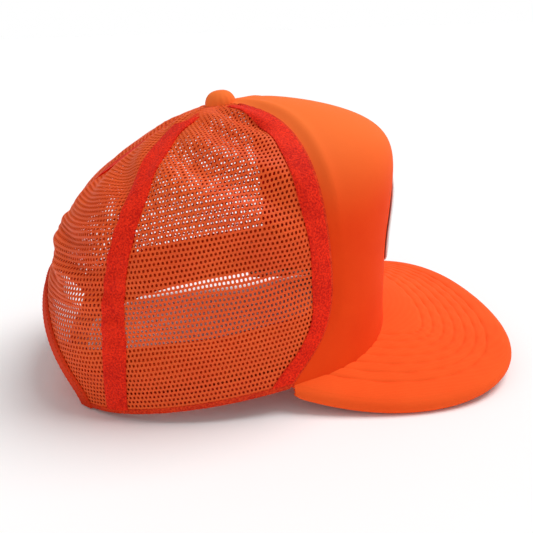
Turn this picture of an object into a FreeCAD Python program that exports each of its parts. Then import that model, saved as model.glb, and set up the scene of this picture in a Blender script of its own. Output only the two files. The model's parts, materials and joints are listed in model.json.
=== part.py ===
import FreeCAD, Part
import math
import os

from FreeCAD import Placement, Rotation, Vector

# Trucker mesh cap: a foam-fronted crown of five panels, a stitched visor, a covered
# button and a two-piece snap closure at the rear. Everything is drawn in the hem frame:
# X forward to the visor, Y to the wearer's left, Z up from the hem plane. One placement
# then tips the cap nose up, the way it rests on its rear hem and its visor corners.

document = FreeCAD.newDocument("MeshCap")
sheet = document.addObject("Spreadsheet::Sheet", "Sizes")

DIMENSIONS = [
    ("crown_height", 128.0, "hem plane to the flat spot under the button"),
    ("oval_power", 2.4, "how square the crown's level ovals are; 2 is an ellipse"),
    ("button_station", 26.0, "how far forward of the origin the button stands"),
    ("mesh_thickness", 1.2, "polyester mesh of the side and rear panels"),
    ("cover_thickness", 0.8, "knit face of the front panel"),
    ("foam_thickness", 2.4, "foam behind the knit face"),
    ("tape_thickness", 0.7, "woven seam tape"),
    ("tape_width", 11.0, "woven seam tape"),
    ("band_height", 33.0, "sweatband"),
    ("band_thickness", 1.5, "sweatband, cotton over a thin pad"),
    ("band_inset", 3.7, "crown face to the sweatband"),
    ("hem_tape_height", 11.0, "turned-in hem of the mesh panels"),
    ("hem_tape_thickness", 1.4, "turned-in hem, two plies of mesh"),
    ("hem_tape_clearance", 19.0, "edge of the rear opening to the turned-in hem"),
    ("lining_lift", 1.0, "hem plane to the sweatband and the turned-in hem"),
    ("layer_gap", 0.1, "air between neighbouring layers"),
    ("arch_half_width", 54.0, "rear opening"),
    ("arch_height", 50.0, "rear opening"),
    ("arch_foot", 6.0, "straight foot of the rear opening"),
    ("tape_end", 16.5, "button's axis to the ends of the seam tapes"),
    ("binding_width", 8.0, "folded tape round the rear opening"),
    ("binding_lip", 1.2, "binding past the mesh edge"),
    ("visor_length", 66.0, "front of the crown to the visor's front edge"),
    ("visor_half_width", 98.0, "visor"),
    ("visor_wide_station", 93.0, "where the visor is widest"),
    ("visor_corner_station", 31.0, "where the visor meets the hem"),
    ("visor_roundness", 0.669, "pull of the visor's front corners; 0.552 is an ellipse"),
    ("visor_flank", 0.45, "pull of the visor's flanks back towards the hem"),
    ("visor_droop", 16.5, "slope of the visor along its middle, in degrees"),
    ("visor_flatten", 0.0000209, "how the visor opens out towards its front"),
    ("visor_root_rise", 3.5, "hem plane to the visor's face at the middle of its root"),
    ("board_thickness", 2.2, "visor board"),
    ("board_inset", 2.6, "visor edge to the board's edge"),
    ("visor_cover_thickness", 2.4, "foam-backed top cover of the visor"),
    ("visor_lining_thickness", 1.0, "under cover of the visor"),
    ("visor_lining_inset", 0.6, "visor edge to the under cover's edge"),
    ("button_radius", 8.2, "covered button"),
    ("button_height", 6.6, "covered button"),
    ("button_cloth", 0.6, "cloth over the button"),
    ("button_skirt", 1.2, "straight side of the button under its dome"),
    ("stud_radius", 1.2, "button's stem"),
    ("washer_radius", 6.0, "button's washer inside the crown"),
    ("washer_thickness", 0.8, "button's washer"),
    ("washer_clearance", 0.4, "front foam to the button's washer"),
    ("patch_half_width", 36.0, "oval patch on the front panel"),
    ("patch_half_height", 27.0, "oval patch on the front panel"),
    ("patch_height", 60.0, "hem plane to the middle of the patch"),
    ("patch_thickness", 0.9, "oval patch"),
    ("patch_rim", 3.0, "width of the patch's stitched rim"),
    ("rim_thickness", 1.45, "patch's stitched rim"),
    ("strap_height", 19.0, "snap strap, top to bottom"),
    ("strap_lift", 2.0, "hem plane to the strap's lower edge"),
    ("strap_thickness", 1.2, "snap strap"),
    ("strap_root", 49.0, "middle of the closure to a strap's hinge line"),
    ("strap_inset", 2.8, "crown face to the middle of a strap's root"),
    ("strap_bow", 4.4, "how far the closed straps stand out past their roots"),
    ("strap_layer", 0.8, "closure plane to the middle of either strap"),
    ("strap_reach", 17.5, "middle of the closure to a strap's free end"),
    ("strap_corner", 6.0, "rounding of a strap's free end"),
    ("snap_pitch", 8.0, "one snap to the next"),
    ("snap_count", 6.0, "snaps on each strap"),
    ("peg_radius", 1.9, "snap peg"),
    ("peg_height", 3.2, "snap peg"),
    ("peg_reach", 3.9, "snap peg with the part of it inside its strap"),
    ("peg_root", 0.3, "strap's inner face to the start of a peg inside it"),
    ("first_snap", -1.5, "middle of the closure to a strap's first snap, in pitches"),
    ("snap_hole_radius", 2.5, "snap hole"),
    ("tab_length", 22.0, "hinge line to the far edge of a strap's sewn-in tab"),
    ("tab_clearance", 1.3, "round root of a strap to its sewn-in tab"),
    ("rest_pitch", 6.9, "nose-up tilt at rest, in degrees"),
    ("rest_lift", 8.87, "floor to the origin of the hem frame"),
    ("rest_shift", -37.1, "moves the cap's box to the middle"),
]

# The crown's level ovals, from the hem up: height, front, rear, half width.
LEVELS = [
    ("hem", 0.0, 98.0, -87.0, 85.5),
    ("ear", 18.0, 99.0, -91.5, 84.0),
    ("temple", 38.0, 101.0, -90.0, 82.5),
    ("middle", 58.0, 105.0, -80.5, 80.5),
    ("brow", 79.0, 109.5, -69.0, 77.5),
    ("shoulder", 97.0, 110.0, -52.0, 70.0),
    ("crest", 111.0, 95.0, -27.0, 54.5),
    ("dome", 121.0, 70.0, -6.0, 34.0),
    ("top", 126.0, 49.0, 8.0, 18.0),
    ("peak", 128.0, 33.0, 19.0, 6.5),
]
LEVEL_SIZES = ("height", "front", "rear", "half")

for row, (alias, value, note) in enumerate(DIMENSIONS, start=1):
    sheet.set("A%d" % row, note)
    sheet.set("B%d" % row, str(value))
    sheet.setAlias("B%d" % row, alias)
for row, level in enumerate(LEVELS, start=1):
    sheet.set("D%d" % row, level[0])
    for column, name, value in zip("EFGH", LEVEL_SIZES, level[1:]):
        sheet.set("%s%d" % (column, row), str(value))
        sheet.setAlias("%s%d" % (column, row), level[0] + "_" + name)
document.recompute()


def size(alias):
    return float(sheet.get(alias))


FAR = 220.0          # past every side of the cap
BELOW = -60.0        # under the visor's lowest edge
ABOVE = 180.0        # over the button
SKIRT = 8.0          # the crown form runs this far under the hem before it is trimmed
OVAL_POINTS = 12     # points that carry each level oval
ARCH_START = -32.0   # the rear opening is cut from here backwards
PATCH_START = 60.0   # the patch is cut from here forwards
VISOR_MARGIN = 30.0  # the visor's face is drawn this far past its sides
BUTTON_AXIS = Vector(size("button_station"), 0, 0)
GAP = size("layer_gap")
CROWN_HEIGHT = size("crown_height")
HEM_FRONT, HEM_REAR, HEM_HALF = size("hem_front"), size("hem_rear"), size("hem_half")

REST = Placement(Vector(size("rest_shift"), 0, size("rest_lift")),
                 Rotation(Vector(0, 1, 0), -size("rest_pitch")))


# ---------------------------------------------------------------- shapes shared by pieces

def signed_power(value, power):
    return math.copysign(abs(value) ** power, value)


def oval(front, rear, half, height, power):
    """A closed smooth level curve that starts at its rear, where the crown is open."""
    middle, reach = (front + rear) / 2, (front - rear) / 2
    points = []
    for step in range(OVAL_POINTS):
        turn = 2 * math.pi * step / OVAL_POINTS
        x = middle - reach * signed_power(math.cos(turn), 2 / power)
        y = half * signed_power(math.sin(turn), 2 / power)
        points.append(Vector(x, y, height))
    curve = Part.BSplineCurve()
    knots = [float(step) for step in range(OVAL_POINTS + 1)]
    curve.interpolate(Points=points, PeriodicFlag=True, Parameters=knots)
    return Part.Wire([curve.toShape()])


def level_at(inset, name):
    """One level's front, rear, half width and height on the form that lies inset inside."""
    front = size(name + "_front") * (HEM_FRONT - inset) / HEM_FRONT
    rear = size(name + "_rear") * (HEM_REAR + inset) / HEM_REAR
    half = size(name + "_half") * (HEM_HALF - inset) / HEM_HALF
    height = size(name + "_height") * (CROWN_HEIGHT - inset) / CROWN_HEIGHT
    return front, rear, half, height


crown_forms = {}     # forms already lofted, by inset


def crown_form(inset):
    """The solid inside the crown's face, drawn in by inset."""
    if inset in crown_forms:
        return crown_forms[inset]
    power = size("oval_power")
    front, rear, half, _ = level_at(inset, "hem")
    wires = [oval(front, rear, half, -SKIRT - inset, power)]
    for name, *_ in LEVELS:
        front, rear, half, height = level_at(inset, name)
        wires.append(oval(front, rear, half, height, power))
    crown_forms[inset] = Part.makeLoft(wires, True)
    return crown_forms[inset]


def slab(low, high):
    return Part.makeBox(2 * FAR, 2 * FAR, high - low, Vector(-FAR, -FAR, low))


def half_space(side):
    """Everything on the wearer's right (-1) or left (+1) of the middle seam."""
    start = GAP / 2 if side > 0 else -FAR
    return Part.makeBox(2 * FAR, FAR - GAP / 2, ABOVE - BELOW, Vector(-FAR, start, BELOW))


def crown_layer(outer, inner):
    """A closed shell of the crown between two insets, above the hem, open for the button."""
    shell = crown_form(outer).cut(crown_form(inner)).common(slab(0, ABOVE))
    stem_hole = Part.makeCylinder(size("stud_radius") + 2 * GAP, ABOVE, BUTTON_AXIS)
    return shell.cut(stem_hole)


def seam_zone(poles, shift, side):
    """The space ahead of (+1) or behind (-1) a seam that is drawn from the side."""
    curve = Part.BSplineCurve()
    curve.buildFromPoles([Vector(x + shift, -FAR, z) for x, z in poles])
    first, last = curve.StartPoint, curve.EndPoint
    far_low, far_high = Vector(side * FAR, -FAR, first.z), Vector(side * FAR, -FAR, last.z)
    outline = [curve.toShape(), Part.makeLine(last, far_high),
               Part.makeLine(far_high, far_low), Part.makeLine(far_low, first)]
    return Part.Face(Part.Wire(outline)).extrude(Vector(0, 2 * FAR, 0))


BUTTON_X = size("button_station")
FRONT_SEAM = [(24, BELOW), (25, -8), (29, 4), (57, 22), (60, 60), (59, 96), (54, 122),
              (BUTTON_X + 6, CROWN_HEIGHT), (BUTTON_X, CROWN_HEIGHT + 1), (BUTTON_X, ABOVE)]
SIDE_SEAM = [(-56, BELOW), (-55, -6), (-52, 10), (-46, 48), (-34, 86), (-10, 118),
             (BUTTON_X - 10, CROWN_HEIGHT), (BUTTON_X, CROWN_HEIGHT + 1), (BUTTON_X, ABOVE)]


def arch_zone(grow):
    """The rear opening as a prism, grown sideways and upwards."""
    half, height = size("arch_half_width") + grow, size("arch_height") + grow
    foot = size("arch_foot")
    crest = Part.Ellipse(Vector(0, 0, 0), half, height - foot)
    bow = Part.Arc(crest, 0, math.pi).toShape()
    bow.Placement = Placement(Vector(ARCH_START, 0, foot),
                              Rotation(Vector(0, -1, 0), Vector(0, 0, 1), Vector(-1, 0, 0), "XYZ"))
    right, left = [vertex.Point for vertex in bow.Vertexes]
    low_right, low_left = Vector(right.x, right.y, BELOW), Vector(left.x, left.y, BELOW)
    outline = [bow, Part.makeLine(left, low_left), Part.makeLine(low_left, low_right),
               Part.makeLine(low_right, right)]
    return Part.Face(Part.Wire(outline)).extrude(Vector(-FAR, 0, 0))


# ---------------------------------------------------------------- visor surface

VISOR_CORNER = size("visor_corner_station")
VISOR_SLOPE = math.tan(math.radians(size("visor_droop")))


def hem_half_at(station):
    """Half width of the hem oval at one station along X."""
    middle, reach = (HEM_FRONT + HEM_REAR) / 2, (HEM_FRONT - HEM_REAR) / 2
    power = size("oval_power")
    return HEM_HALF * (1 - abs((station - middle) / reach) ** power) ** (1 / power)


CORNER_HALF = hem_half_at(VISOR_CORNER)
VISOR_BEND = (size("visor_root_rise") + VISOR_SLOPE * (HEM_FRONT - VISOR_CORNER)) / CORNER_HALF ** 2


def visor_face(drop):
    """The visor's curved face, lowered by drop: straight along X, a parabola along Y."""
    edge = size("visor_half_width") + VISOR_MARGIN
    surface = Part.BezierSurface()
    surface.increase(1, 2)
    for row, station in enumerate((0.0, FAR), start=1):
        spine = size("visor_root_rise") - VISOR_SLOPE * (station - HEM_FRONT) - drop
        bend = VISOR_BEND - size("visor_flatten") * (station - VISOR_CORNER)
        fall = bend * edge ** 2
        for column, (y, z) in enumerate(((-edge, spine - fall), (0, spine + fall), (edge, spine - fall)),
                                        start=1):
            surface.setPole(row, column, Vector(station, y, z))
    return Part.Face(surface)


def visor_outline(inset):
    """The visor seen from above, as an upright prism reaching back inside the crown."""
    wide, half = size("visor_wide_station"), size("visor_half_width") - inset
    nose = HEM_FRONT + size("visor_length") - inset
    root, root_half = VISOR_CORNER + inset, CORNER_HALF - inset
    bulge, flank = size("visor_roundness"), size("visor_flank")
    edges = [Part.makeLine(Vector(root, -root_half, BELOW), Vector(root, root_half, BELOW))]
    for side in (1, -1):
        brim = Part.BezierCurve()
        brim.setPoles([Vector(nose, 0, BELOW), Vector(nose, side * half * bulge, BELOW),
                       Vector(wide + (nose - wide) * bulge, side * half, BELOW),
                       Vector(wide, side * half, BELOW)])
        sweep = Part.BezierCurve()
        sweep.setPoles([Vector(wide, side * half, BELOW),
                        Vector(wide - flank * (wide - VISOR_CORNER), side * half, BELOW),
                        Vector(root, side * root_half, BELOW)])
        edges += [brim.toShape(), sweep.toShape()]
    return Part.Face(Part.Wire(Part.__sortEdges__(edges))).extrude(Vector(0, 0, ABOVE - BELOW))


def visor_layer(top, bottom, inset):
    """A sheet of the visor between two depths, ending where the sweatband starts."""
    sheet_solid = visor_face(top).extrude(Vector(0, 0, top - bottom)).common(visor_outline(inset))
    front, rear, half, _ = level_at(size("band_inset") - GAP, "hem")
    head = Part.Face(oval(front, rear, half, BELOW, size("oval_power")))
    return sheet_solid.cut(head.extrude(Vector(0, 0, ABOVE - BELOW)))


# ---------------------------------------------------------------- pieces as features

SIDES = (("right", -1), ("left", 1))
pieces = []      # the objects that are written to parts/


def largest(shape):
    """The main solid of a cut, without any crumb thinner than the layers it came from."""
    return max(shape.Solids, key=lambda solid: solid.Volume)


def add_piece(label, shape):
    feature = document.addObject("Part::Feature", label)
    feature.Label = label
    feature.Shape = shape
    feature.Placement = REST.multiply(feature.Placement)
    pieces.append(feature)


def make_front_panel():
    under_visor = visor_face(-GAP).extrude(Vector(0, 0, BELOW))
    ahead = seam_zone(FRONT_SEAM, GAP, 1)
    cover = size("cover_thickness")
    foam_start = cover + GAP
    face = crown_layer(0, cover).common(ahead).cut(under_visor)
    foam = crown_layer(foam_start, foam_start + size("foam_thickness")).common(ahead).cut(under_visor)
    add_piece("front_panel_cover", largest(face))
    add_piece("front_panel_foam", largest(foam))


def make_mesh_panels():
    mesh = crown_layer(0, size("mesh_thickness")).cut(arch_zone(size("binding_lip")))
    behind_front = seam_zone(FRONT_SEAM, 0, -1)
    ahead_of_side = seam_zone(SIDE_SEAM, GAP, 1)
    behind_side = seam_zone(SIDE_SEAM, 0, -1)
    for name, side in SIDES:
        half = mesh.common(half_space(side))
        add_piece("side_mesh_" + name, largest(half.common(behind_front).common(ahead_of_side)))
        add_piece("rear_mesh_" + name, largest(half.common(behind_side)))


def make_seam_tapes():
    start = size("mesh_thickness") + GAP
    width = size("tape_width")
    crown_top = Part.makeCylinder(size("tape_end"), ABOVE, BUTTON_AXIS)
    above_hem = slab(size("hem_tape_height") + GAP, ABOVE)
    tape = crown_layer(start, start + size("tape_thickness")).cut(crown_top).common(above_hem)
    tape = tape.cut(arch_zone(size("binding_width") + GAP))
    front_strip = seam_zone(FRONT_SEAM, -GAP, -1).common(seam_zone(FRONT_SEAM, -width, 1))
    side_strip = seam_zone(SIDE_SEAM, width / 2, -1).common(seam_zone(SIDE_SEAM, -width / 2, 1))
    for name, side in SIDES:
        half = tape.common(half_space(side))
        add_piece("front_seam_tape_" + name, largest(half.common(front_strip)))
        add_piece("side_seam_tape_" + name, largest(half.common(side_strip)))
    rear_strip = Part.makeBox(FAR, width, ABOVE, Vector(BUTTON_X - FAR, -width / 2, 0))
    behind_side = seam_zone(SIDE_SEAM, -width / 2 - GAP, -1)
    add_piece("rear_seam_tape", largest(tape.common(rear_strip).common(behind_side)))


def make_hem():
    band_start = size("band_inset")
    band = crown_layer(band_start, band_start + size("band_thickness"))
    band = band.common(slab(size("lining_lift"), size("band_height"))).cut(arch_zone(GAP))
    add_piece("sweatband", largest(band))
    start = size("mesh_thickness") + GAP
    hem = crown_layer(start, start + size("hem_tape_thickness"))
    hem = hem.common(slab(size("lining_lift"), size("hem_tape_height")))
    hem = hem.common(seam_zone(FRONT_SEAM, -GAP, -1))
    hem = hem.cut(arch_zone(size("hem_tape_clearance")))
    for name, side in SIDES:
        add_piece("hem_tape_" + name, largest(hem.common(half_space(side))))


def make_arch_binding():
    """A tape folded over the mesh edge, so it lies outside, over the edge and inside."""
    outside, inside = -size("tape_thickness"), size("mesh_thickness") + size("tape_thickness")
    band = crown_layer(outside, inside).cut(arch_zone(0))
    band = band.common(arch_zone(size("binding_width")))
    mesh_slot = crown_layer(-GAP, size("mesh_thickness") + GAP).cut(arch_zone(size("binding_lip") - GAP))
    add_piece("rear_arch_binding", largest(band.cut(mesh_slot)))


def make_visor():
    cover, board = size("visor_cover_thickness"), size("board_thickness")
    board_top = cover + GAP
    board_foot = board_top + board
    board_inset = size("board_inset")
    add_piece("visor_board", largest(visor_layer(board_top, board_foot, board_inset)))
    sheet_solid = visor_layer(0, board_foot, 0)
    pocket = visor_layer(cover, board_foot + GAP, board_inset - GAP)
    add_piece("visor_top_cover", largest(sheet_solid.cut(pocket)))
    lining_top = board_foot + GAP
    lining_foot = lining_top + size("visor_lining_thickness")
    lining = visor_layer(lining_top, lining_foot, size("visor_lining_inset"))
    add_piece("visor_under_cover", largest(lining))


def oval_prism(half_width, half_height):
    """The patch seen from the front, as a prism that meets only the front of the crown."""
    outline = Part.Ellipse(Vector(0, 0, 0), half_width, half_height).toShape()
    outline.Placement = Placement(Vector(PATCH_START, 0, size("patch_height")),
                                  Rotation(Vector(0, 1, 0), Vector(0, 0, 1), Vector(1, 0, 0), "XYZ"))
    return Part.Face(Part.Wire([outline])).extrude(Vector(FAR, 0, 0))


def make_patch():
    half_width, half_height, rim = size("patch_half_width"), size("patch_half_height"), size("patch_rim")
    hole = oval_prism(half_width - rim, half_height - rim)
    filling = oval_prism(half_width - rim - GAP, half_height - rim - GAP)
    cloth = crown_layer(-GAP - size("patch_thickness"), -GAP).common(filling)
    ring = crown_layer(-GAP - size("rim_thickness"), -GAP).common(oval_prism(half_width, half_height))
    add_piece("front_patch", largest(cloth))
    add_piece("front_patch_rim", largest(ring.cut(hole)))


# ---------------------------------------------------------------- turned pieces

def turned_body(label, outline, base):
    """A PartDesign body turned about its own upright axis from a half outline."""
    body = document.addObject("PartDesign::Body", label)
    body.Label = label
    plane = [item for item in body.Origin.OriginFeatures if item.Role == "XZ_Plane"][0]
    sketch = body.newObject("Sketcher::SketchObject", label + "_outline")
    sketch.AttachmentSupport = (plane, [""])
    sketch.MapMode = "FlatFace"
    for edge in outline:
        sketch.addGeometry(edge, False)
    turn = body.newObject("PartDesign::Revolution", label + "_turn")
    turn.Profile = sketch
    turn.ReferenceAxis = (sketch, ["V_Axis"])
    turn.Angle = 360
    body.Placement = REST.multiply(Placement(base, Rotation()))
    pieces.append(body)


def polyline(points):
    corners = [Vector(x, y, 0) for x, y in points]
    return [Part.LineSegment(a, b) for a, b in zip(corners, corners[1:] + corners[:1])]


CROWN_TURN = 0.47 * math.pi     # a dome's arc stops here, short of its small flat crown


def dome_arc(radius, height, foot):
    """Nearly a quarter of an ellipse, from the dome's shoulder up to its flat crown."""
    ellipse = Part.Ellipse(Vector(0, foot, 0), radius, height - foot)
    return Part.ArcOfEllipse(ellipse, 0, CROWN_TURN)


def make_button():
    radius, height, cloth = size("button_radius"), size("button_height"), size("button_cloth")
    foot = size("button_skirt")
    seat = BUTTON_AXIS + Vector(0, 0, CROWN_HEIGHT + GAP)
    inner, ceiling = radius - cloth, height - cloth
    outside, inside = dome_arc(radius, height, foot), dome_arc(inner, ceiling, foot)
    top, under = Vector(0, outside.EndPoint.y, 0), Vector(0, inside.EndPoint.y, 0)
    cover = [Part.LineSegment(Vector(inner, 0, 0), Vector(radius, 0, 0)),
             Part.LineSegment(Vector(radius, 0, 0), Vector(radius, foot, 0)),
             outside, Part.LineSegment(outside.EndPoint, top), Part.LineSegment(top, under),
             Part.LineSegment(under, inside.EndPoint), inside,
             Part.LineSegment(Vector(inner, foot, 0), Vector(inner, 0, 0))]
    turned_body("button_cover", cover, seat)
    core, rise = inner - GAP, ceiling - 2 * GAP
    arc = dome_arc(core, rise, foot)
    peak = Vector(0, arc.EndPoint.y, 0)
    shell = [Part.LineSegment(Vector(0, 0, 0), Vector(core, 0, 0)),
             Part.LineSegment(Vector(core, 0, 0), Vector(core, foot, 0)),
             arc, Part.LineSegment(arc.EndPoint, peak), Part.LineSegment(peak, Vector(0, 0, 0))]
    turned_body("button_shell", shell, seat + Vector(0, 0, GAP))
    washer_top = size("cover_thickness") + GAP + size("foam_thickness") + size("washer_clearance")
    washer_foot = washer_top + size("washer_thickness")
    stem, washer = size("stud_radius"), size("washer_radius")
    stud = [(0, 0), (stem, 0), (stem, -washer_top), (washer, -washer_top),
            (washer, -washer_foot), (0, -washer_foot)]
    turned_body("button_stud", polyline(stud), seat)


# ---------------------------------------------------------------- snap closure

def closure_root():
    """Where a strap's hinge line meets its path, and the crown's turn away from Y there."""
    front, rear, half, _ = level_at(size("strap_inset"), "hem")
    middle, reach = (front + rear) / 2, (front - rear) / 2
    power, y = size("oval_power"), size("strap_root")
    across = (y / half) ** power
    station = middle - reach * (1 - across) ** (1 / power)
    along = (middle - station) / reach
    slope = reach / half * (y / half / along) ** (power - 1)
    return station, math.atan(slope)


ROOT_STATION, ROOT_TURN = closure_root()


def strap_edges(side, layer):
    """A strap's section seen from above: a flat run, an arc round to its root, a round hinge.

    side is the side of its root, and layer is -1 outside or +1 inside the closure plane."""
    thick, root = size("strap_thickness"), size("strap_root")
    plane = ROOT_STATION - size("strap_bow") + layer * size("strap_layer")
    radius = (ROOT_STATION - plane) / (1 - math.cos(ROOT_TURN))
    bend = root - radius * math.sin(ROOT_TURN)
    centre = Vector(plane + radius, side * bend, 0)

    def on_arc(offset, turn):
        reach = radius + offset
        return centre + Vector(-reach * math.cos(turn), side * reach * math.sin(turn), 0)

    half = thick / 2
    free = -side * size("strap_reach")
    outer = [on_arc(half, turn) for turn in (0, ROOT_TURN / 2, ROOT_TURN)]
    inner = [on_arc(-half, turn) for turn in (0, ROOT_TURN / 2, ROOT_TURN)]
    root_tip = on_arc(0, ROOT_TURN) + Vector(math.sin(ROOT_TURN), side * math.cos(ROOT_TURN), 0) * half
    outer_end, inner_end = Vector(outer[0].x, free, 0), Vector(inner[0].x, free, 0)
    return [Part.LineSegment(outer_end, outer[0]), Part.Arc(*outer),
            Part.Arc(outer[2], root_tip, inner[2]), Part.Arc(*reversed(inner)),
            Part.LineSegment(inner[0], inner_end), Part.LineSegment(inner_end, outer_end)]


def strap_body(label, side, layer):
    """A strap padded from its section, with the corners of its free end rounded."""
    body = document.addObject("PartDesign::Body", label)
    body.Label = label
    plane = [item for item in body.Origin.OriginFeatures if item.Role == "XY_Plane"][0]
    section = body.newObject("Sketcher::SketchObject", label + "_section")
    section.AttachmentSupport = (plane, [""])
    section.MapMode = "FlatFace"
    section.setExpression("AttachmentOffset.Base.z", "Sizes.strap_lift")
    for edge in strap_edges(side, layer):
        section.addGeometry(edge, False)
    strip = body.newObject("PartDesign::Pad", label + "_strip")
    strip.Profile = section
    strip.setExpression("Length", "Sizes.strap_height")
    document.recompute()
    free = -side * size("strap_reach")
    corners = ["Edge%d" % (index + 1) for index, edge in enumerate(strip.Shape.Edges)
               if abs(edge.CenterOfMass.y - free) < GAP and abs(edge.tangentAt(edge.FirstParameter).x) > 0.9]
    rounding = body.newObject("PartDesign::Fillet", label + "_corners")
    rounding.Base = (strip, corners)
    rounding.setExpression("Radius", "Sizes.strap_corner")
    return body


def snap_row(name, side, start, height_alias, radius_alias):
    """A row of cylinders across the closure plane, one at each snap of a strap.

    start is where along X the cylinders begin; they run outwards from there."""
    cylinders = []
    for snap in range(int(size("snap_count"))):
        cylinder = document.addObject("Part::Cylinder", "%s_%d" % (name, snap + 1))
        cylinder.setExpression("Radius", "Sizes." + radius_alias)
        cylinder.setExpression("Height", "Sizes." + height_alias)
        y = side * size("snap_pitch") * (size("first_snap") + snap)
        middle = size("strap_lift") + size("strap_height") / 2
        cylinder.Placement = Placement(Vector(start, y, middle), Rotation(Vector(0, 1, 0), -90))
        cylinders.append(cylinder)
    return cylinders


def joined(kind, label, **links):
    feature = document.addObject(kind, label)
    for name, value in links.items():
        setattr(feature, name, value)
    return feature


def make_straps():
    """Outer strap with holes, rooted on the wearer's right; inner strap with pegs, on the left."""
    plane = ROOT_STATION - size("strap_bow")
    thick, layer = size("strap_thickness"), size("strap_layer")
    holes = snap_row("snap_hole", -1, plane, "peg_height", "snap_hole_radius")
    hole_tool = joined("Part::MultiFuse", "snap_holes", Shapes=holes)
    hole_strap = joined("Part::Cut", "hole_strap", Base=strap_body("hole_strap_strip", -1, -1),
                        Tool=hole_tool)
    peg_start = plane + layer - thick / 2 + size("peg_root")
    pegs = snap_row("snap_peg", 1, peg_start, "peg_reach", "peg_radius")
    peg_strap = joined("Part::MultiFuse", "peg_strap", Shapes=[strap_body("peg_strap_strip", 1, 1)] + pegs)
    for strap in (hole_strap, peg_strap):
        strap.Placement = REST
        pieces.append(strap)
    inset = size("strap_inset")
    tab_layer = crown_layer(inset - thick / 2, inset + thick / 2)
    low = size("strap_lift")
    tab_layer = tab_layer.common(slab(low, low + size("strap_height")))
    tab_layer = tab_layer.common(Part.makeBox(FAR, 2 * FAR, ABOVE, Vector(-FAR, -FAR, 0)))
    inner_edge = size("strap_root") + thick / 2 + size("tab_clearance")
    outer_edge = size("strap_root") + size("tab_length")
    for name, side in (("hole_strap_tab", -1), ("peg_strap_tab", 1)):
        start = inner_edge if side > 0 else -outer_edge
        window = Part.makeBox(FAR, outer_edge - inner_edge, ABOVE, Vector(-FAR, start, 0))
        add_piece(name, largest(tab_layer.common(window)))


# ---------------------------------------------------------------- build, check and write

make_front_panel()
make_mesh_panels()
make_seam_tapes()
make_hem()
make_arch_binding()
make_visor()
make_patch()
make_button()
make_straps()
document.recompute()

for item in document.Objects:
    if "Invalid" in item.State or "Error" in item.State:
        raise RuntimeError("%s failed to build" % item.Label)
for piece in pieces:
    if piece.Shape.isNull() or not piece.Shape.isValid():
        raise RuntimeError("%s has no valid shape" % piece.Label)

os.makedirs("parts", exist_ok=True)
for piece in pieces:
    piece.Shape.exportStep(os.path.join("parts", piece.Label + ".step"))
    box = piece.Shape.BoundBox
    print("%-24s %d solid  %9.1f mm3  X %7.1f %7.1f  Y %7.1f %7.1f  Z %6.1f %6.1f"
          % (piece.Label, len(piece.Shape.Solids), piece.Shape.Volume,
             box.XMin, box.XMax, box.YMin, box.YMax, box.ZMin, box.ZMax))
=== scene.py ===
import json
import math

import bpy
import numpy as np
from mathutils import Matrix, Vector
from mathutils.bvhtree import BVHTree


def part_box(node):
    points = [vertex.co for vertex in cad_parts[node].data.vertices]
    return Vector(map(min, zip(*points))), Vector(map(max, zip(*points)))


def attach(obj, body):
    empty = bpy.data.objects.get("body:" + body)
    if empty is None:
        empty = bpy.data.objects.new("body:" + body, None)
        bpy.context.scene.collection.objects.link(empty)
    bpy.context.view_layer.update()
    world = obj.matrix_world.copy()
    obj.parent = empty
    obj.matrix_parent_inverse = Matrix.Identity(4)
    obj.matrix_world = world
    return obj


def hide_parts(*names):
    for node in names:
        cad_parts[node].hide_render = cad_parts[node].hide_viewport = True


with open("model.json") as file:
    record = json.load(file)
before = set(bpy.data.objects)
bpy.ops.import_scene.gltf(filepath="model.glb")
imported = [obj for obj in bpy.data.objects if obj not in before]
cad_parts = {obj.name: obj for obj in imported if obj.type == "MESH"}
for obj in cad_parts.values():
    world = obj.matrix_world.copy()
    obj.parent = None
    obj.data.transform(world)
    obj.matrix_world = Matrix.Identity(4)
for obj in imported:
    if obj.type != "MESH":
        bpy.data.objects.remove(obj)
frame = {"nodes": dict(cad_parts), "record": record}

print("stage: frame loaded")
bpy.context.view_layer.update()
mm = 0.001
cycle = 6.28      # one full wave, in radians
sides = (("right", -1), ("left", 1))
scene = bpy.context.scene


# hem frame: the hem plane, the way forward and the foot of the button's axis
mounts = {mount["name"]: mount for mount in frame["record"]["mounts"]}
hemUp = -Vector(mounts["hem_rest"]["axis"]).normalized()
hemPoint = Vector(mounts["hem_rest"]["pos_m"])
toLeft = Vector((0, 1, 0))
forward = toLeft.cross(hemUp).normalized()
buttonLow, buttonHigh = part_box("button_shell")
buttonMiddle = (Vector(buttonLow) + Vector(buttonHigh)) / 2
buttonMiddle.y = 0
axisFoot = buttonMiddle - hemUp * (buttonMiddle - hemPoint).dot(hemUp)
hemMatrix = np.array([forward, toLeft, hemUp])    # rows: hem axes in the world


def toWorld(local):
    return np.asarray(local) @ hemMatrix + np.array(axisFoot)


def toHem(points):
    return (np.asarray(points) - np.array(axisFoot)) @ hemMatrix.T


def nodeTree(names):
    points, faces, owners = [], [], []
    for name in names:
        mesh = frame["nodes"][name].data
        first = len(points)
        points += [vertex.co.copy() for vertex in mesh.vertices]
        for polygon in mesh.polygons:
            faces.append([first + index for index in polygon.vertices])
            owners.append(name)
    return BVHTree.FromPolygons(points, faces), owners


panelNames = ["front_panel_cover", "side_mesh_right", "side_mesh_left", "rear_mesh_right", "rear_mesh_left"]
panelTree, panelOwners = nodeTree(panelNames)

# the crown's skin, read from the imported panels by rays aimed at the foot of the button's axis
skin = {"azimuths": 361, "elevations": 121, "lowest": 0.3, "highest": 89.0, "farStart": 0.26,
        "rowStep": 1.5 * mm, "nudge": 0.004, "passes": 3}


def castInwards(direction):
    hit = panelTree.ray_cast(axisFoot + direction * skin["farStart"], -direction, skin["farStart"])
    if hit[0] is None:
        return None, None
    return skin["farStart"] - hit[3], hit[2]


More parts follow.
